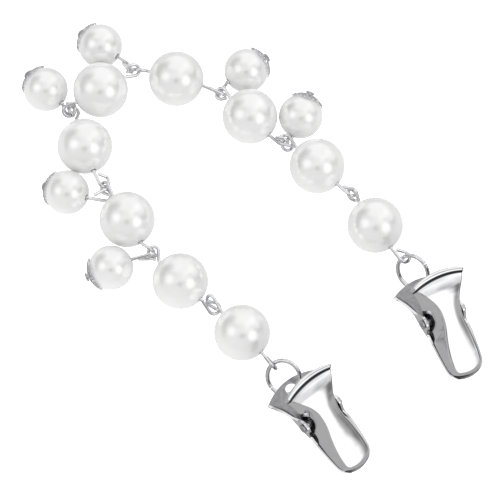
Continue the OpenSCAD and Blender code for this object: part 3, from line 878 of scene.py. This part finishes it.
def half_coil(flip, leg_slope):
    """Half of the torsion spring: a coil on the pin, ending in a leg under its handle."""
    steps = COIL_STEPS * COIL_TURNS
    slope = math.radians(leg_slope)
    start = slope + 2 * math.pi * COIL_TURNS
    pitch = SPRING_D + GAP
    path = []
    for i in range(steps + 1):
        a = start - 2 * math.pi * COIL_TURNS * i / steps
        path.append(Vector((COIL_R * math.sin(a), GAP / 2 + SPRING_D / 2 + pitch * COIL_TURNS * i / steps,
                            COIL_R * math.cos(a))))
    path.append(Vector((COIL_R * math.sin(slope) - LEG_LENGTH * math.cos(slope),
                        GAP / 2 + SPRING_D / 2 + pitch * COIL_TURNS,
                        COIL_R * math.cos(slope) + LEG_LENGTH * math.sin(slope))))
    return [Vector((p.x, p.y * flip, p.z * flip)) for p in path]


# Rivet head: how far its edge and the lip of its dish are turned down, and the dish's slope
HEAD_EDGE_DROP, DISH_LIP_DROP, DISH_SLOPE = 0.04, 0.03, 0.12
RIVET_ROUND, RIVET_STEPS, RIVET_SMOOTH_ANGLE = 0.07, 48, 35
bore_d = PIN_D + 2 * PIN_PLAY
across = Matrix.Rotation(math.pi / 2, 4, "X")
for side in CLIPS:
    place = clip_place(side)
    moving = f"upper_half_{side}"
    upper = half_shell(f"pressed_upper_half_{side}", UPPER, UPPER_GROOVE_SHADE, 1, place)
    press(upper, [cutter(bore_d, THROUGH_CLIP, place @ across)])
    place_on_body(upper, moving, f"clip_upper_{side}")
    lower = half_shell(f"pressed_lower_half_{side}", LOWER, LOWER_GROOVE_SHADE, -1, place)
    ring_hole = (place @ Matrix.Translation(RING_HOLE)
                 @ Matrix.Rotation(math.radians(-HANDLE_SLOPE), 4, "Y"))
    press(lower, [cutter(bore_d, THROUGH_CLIP, place @ across),
                  cutter(RING_HOLE_D, THROUGH_SHEET, ring_hole)])
    place_on_body(lower, "root", f"clip_lower_{side}")

    # Rivet: a turned pin with a dished head outside each ear
    head_in, head_out = EAR_FACE + GAP, EAR_FACE + GAP + RIVET_HEAD_T
    dish_floor = head_out - RIVET_HEAD_T / 2
    end = [(PIN_D / 2, head_in), (RIVET_HEAD_D / 2, head_in),
           (RIVET_HEAD_D / 2, head_out - HEAD_EDGE_DROP), (DISH_D / 2 + DISH_SLOPE, head_out),
           (DISH_D / 2, head_out - DISH_LIP_DROP), (DISH_D / 2, dish_floor)]
    profile = [(0, -dish_floor)] + [(r, -z) for r, z in reversed(end)] + end + [(0, dish_floor)]
    metres = place @ across
    metres.translation *= MM
    rivet = turned_shape(f"turned_rivet_{side}", rounded(profile, RIVET_ROUND), RIVET_STEPS, metres, RIVET)
    smooth_by_angle(rivet, RIVET_SMOOTH_ANGLE)
    place_on_body(rivet, "root", f"hinge_pin_{side}")

    for half, flip, leg_slope, body in (("upper", 1, UPPER_LEG_SLOPE, moving),
                                        ("lower", -1, LOWER_LEG_SLOPE, "root")):
        spring = wire_piece(f"torsion_spring_{half}_{side}", half_coil(flip, leg_slope),
                            SPRING_D, SPRING_SIDES, SPRING, place)
        place_on_body(spring, body, f"spring_{half}_{side}")


# Floor and light

# Half the width of the paper in metres, and how far it lies under the beads in millimetres
PAPER_HALF, PAPER_DROP = 3, 0.02
floor = new_object("floor", [(-PAPER_HALF, -PAPER_HALF, 0), (PAPER_HALF, -PAPER_HALF, 0),
                             (PAPER_HALF, PAPER_HALF, 0), (-PAPER_HALF, PAPER_HALF, 0)],
                   (), [(0, 1, 2, 3)])
floor.location.z = -PAPER_DROP * MM
floor.data.materials.append(PAPER)


def softbox(name, direction, distance, width, height, watts):
    """A soft lamp that faces the object, which polished metal doesn't mirror. Sizes are in metres."""
    data = bpy.data.lights.new(name, "AREA")
    data.shape = "RECTANGLE"
    data.size = width
    data.size_y = height
    data.energy = watts
    lamp = bpy.data.objects.new(name, data)
    bpy.context.scene.collection.objects.link(lamp)
    way = Vector(direction).normalized()
    lamp.location = target + way * distance
    lamp.visible_glossy = False
    lamp.rotation_euler = way.to_track_quat("Z", "Y").to_euler()


softbox("overhead_softbox", (0.1, -0.2, 1.0), distance=0.9, width=0.6, height=0.6, watts=0.8)

# The room round the white table as polished metal mirrors it: how bright it is in general, then each
# large panel or dark stand as its direction, its width in degrees at full and at no strength, and what
# it adds
ROOM_LEVEL = 0.5
ROOM_PATCHES = [
    ((0.685, -0.411, 0.602), 12, 24, 0.85),
    ((0.468, 0.041, 0.883), 10, 26, 0.4),
    ((-0.68, -0.13, 0.72), 4, 24, 0.7),
    ((0.10, 0.78, 0.62), 24, 52, 0.5),
    ((0.75, 0.45, 0.48), 12, 28, 0.3),
    ((-0.10, -0.20, 0.97), 8, 26, 0.2),
    ((-0.55, 0.66, 0.50), 6, 20, -0.5),
    ((-0.86, 0.45, 0.18), 10, 26, -0.45),
    ((-0.99, 0.05, 0.02), 9, 25, -0.45),
    ((0.97, 0.22, 0.04), 6, 18, -0.4),
    ((0.927, 0.032, 0.375), 6, 15, -0.3),
    ((0.62, 0.16, 0.77), 3, 12, -0.3),
    ((0.0, -0.52, 0.853), 5, 13, -0.9),
]
ROOM_DARKEST = 0.04
# Dark skirting of the room, just above the table's edge, open at the back
HORIZON_LOW, HORIZON_HIGH, HORIZON_SHADE = -0.1, 0.2, 0.45
BACK_BEGINS, BACK_FULL = 0.3, 0.8


def room_light():
    """The room as the world's light: plain white for all but mirrored rays, which see its patches."""
    world = bpy.data.worlds.new("room")
    world.use_nodes = True
    tree = world.node_tree
    tree.nodes.clear()
    way = add(tree, "ShaderNodeTexCoord").outputs["Generated"]
    level = None
    for direction, full, none, gain in ROOM_PATCHES:
        toward = add(tree, "ShaderNodeVectorMath",
                     {0: way, 1: Vector(direction).normalized()}, operation="DOT_PRODUCT")
        patch = add(tree, "ShaderNodeMapRange", {
            "Value": toward.outputs["Value"], "From Min": math.cos(math.radians(none)),
            "From Max": math.cos(math.radians(full)), "To Min": 0.0, "To Max": gain},
            interpolation_type="SMOOTHSTEP")
        so_far = ROOM_LEVEL if level is None else level.outputs[0]
        level = add(tree, "ShaderNodeMath", {0: so_far, 1: patch.outputs["Result"]}, operation="ADD")
    floor_level = add(tree, "ShaderNodeMath", {0: level.outputs[0], 1: ROOM_DARKEST}, operation="MAXIMUM")
    height = add(tree, "ShaderNodeSeparateXYZ", {"Vector": way})
    skirting = add(tree, "ShaderNodeMapRange", {
        "Value": height.outputs["Z"], "From Min": HORIZON_LOW, "From Max": HORIZON_HIGH,
        "To Min": HORIZON_SHADE, "To Max": 1.0}, interpolation_type="SMOOTHSTEP")
    behind = add(tree, "ShaderNodeMapRange", {
        "Value": height.outputs["Y"], "From Min": BACK_BEGINS, "From Max": BACK_FULL,
        "To Min": 0.0, "To Max": 1.0}, interpolation_type="SMOOTHSTEP")
    open_back = add(tree, "ShaderNodeMath", {0: skirting.outputs["Result"], 1: behind.outputs["Result"]},
                    operation="MAXIMUM")
    shaded = add(tree, "ShaderNodeMath", {0: floor_level.outputs[0], 1: open_back.outputs[0]},
                 operation="MULTIPLY")
    room = add(tree, "ShaderNodeBackground", {"Color": linear("#FFFFFF"), "Strength": shaded.outputs[0]})
    plain = add(tree, "ShaderNodeBackground", {"Color": linear("#FFFFFF"), "Strength": 1.0})
    mirrored = add(tree, "ShaderNodeLightPath").outputs["Is Glossy Ray"]
    both = add(tree, "ShaderNodeMixShader", {0: mirrored, 1: plain.outputs[0], 2: room.outputs[0]})
    add(tree, "ShaderNodeOutputWorld", {"Surface": both.outputs[0]})
    bpy.context.scene.world = world


room_light()
bpy.context.scene.view_settings.view_transform = "Standard"
